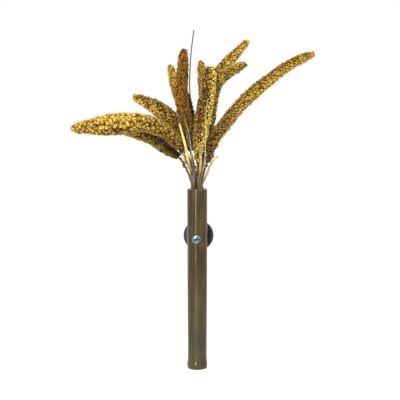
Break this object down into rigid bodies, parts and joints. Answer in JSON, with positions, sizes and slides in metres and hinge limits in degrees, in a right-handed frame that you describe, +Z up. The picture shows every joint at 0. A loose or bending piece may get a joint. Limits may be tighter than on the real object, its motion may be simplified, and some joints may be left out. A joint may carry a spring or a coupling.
{
  "type": "dried millet bundle in a bamboo wall tube",
  "caption": "Dried foxtail millet seed heads, straws and leaves standing in a slim bamboo tube that a screw holds to a round magnet base.",
  "frame": {"origin": "middle of the magnet base's flat back face, where it meets the wall", "axes": "+Y into the wall, out of the magnet's back face; +Z up along the bamboo tube and the seed heads; +X to the viewer's right"},
  "size_m": [0.2367, 0.0627, 0.344],
  "materials": {
    "bamboo": "smooth dark brown bamboo skin, semi-gloss",
    "zinc": "bright blue-white zinc plate",
    "rubber": "smooth black moulded rubber",
    "steel": "plain turned steel",
    "magnet": "nickel plate",
    "stem": "dry straw-brown stalk, matte",
    "grain": "golden-brown dried grain, matte",
    "straw": "dry pale straw, satin",
    "sheath": "dry purple-brown leaf sheath, matte"
  },
  "bodies": {
    "root": {"bamboo_tube": "bamboo", "mounting_screw": "zinc", "rubber_cover": "rubber", "steel_plate": "steel", "magnet_disc_1": "magnet", "magnet_disc_2": "magnet", "magnet_disc_3": "magnet", "magnet_disc_4": "magnet", "stem_low_left": "stem", "head_low_left": "grain", "stem_under_left": "stem", "head_under_left": "grain", "stem_upper_left": "stem", "head_upper_left": "grain", "stem_tall_left": "stem", "head_tall_left": "grain", "stem_behind_left": "stem", "head_behind_left": "grain", "stem_back_left": "stem", "head_back_left": "grain", "stem_back_middle": "stem", "head_back_middle": "grain", "stem_middle": "stem", "head_middle": "grain", "stem_bent_right": "stem", "head_bent_right": "grain", "stem_upper_right": "stem", "head_upper_right": "grain", "stem_far_right": "stem", "head_far_right": "grain", "long_straw": "straw", "short_straw": "straw", "purple_sheath": "sheath", "pale_straw": "straw", "curled_leaf": "straw", "right_leaf": "straw", "awn": "sheath"}
  },
  "joints": []
}
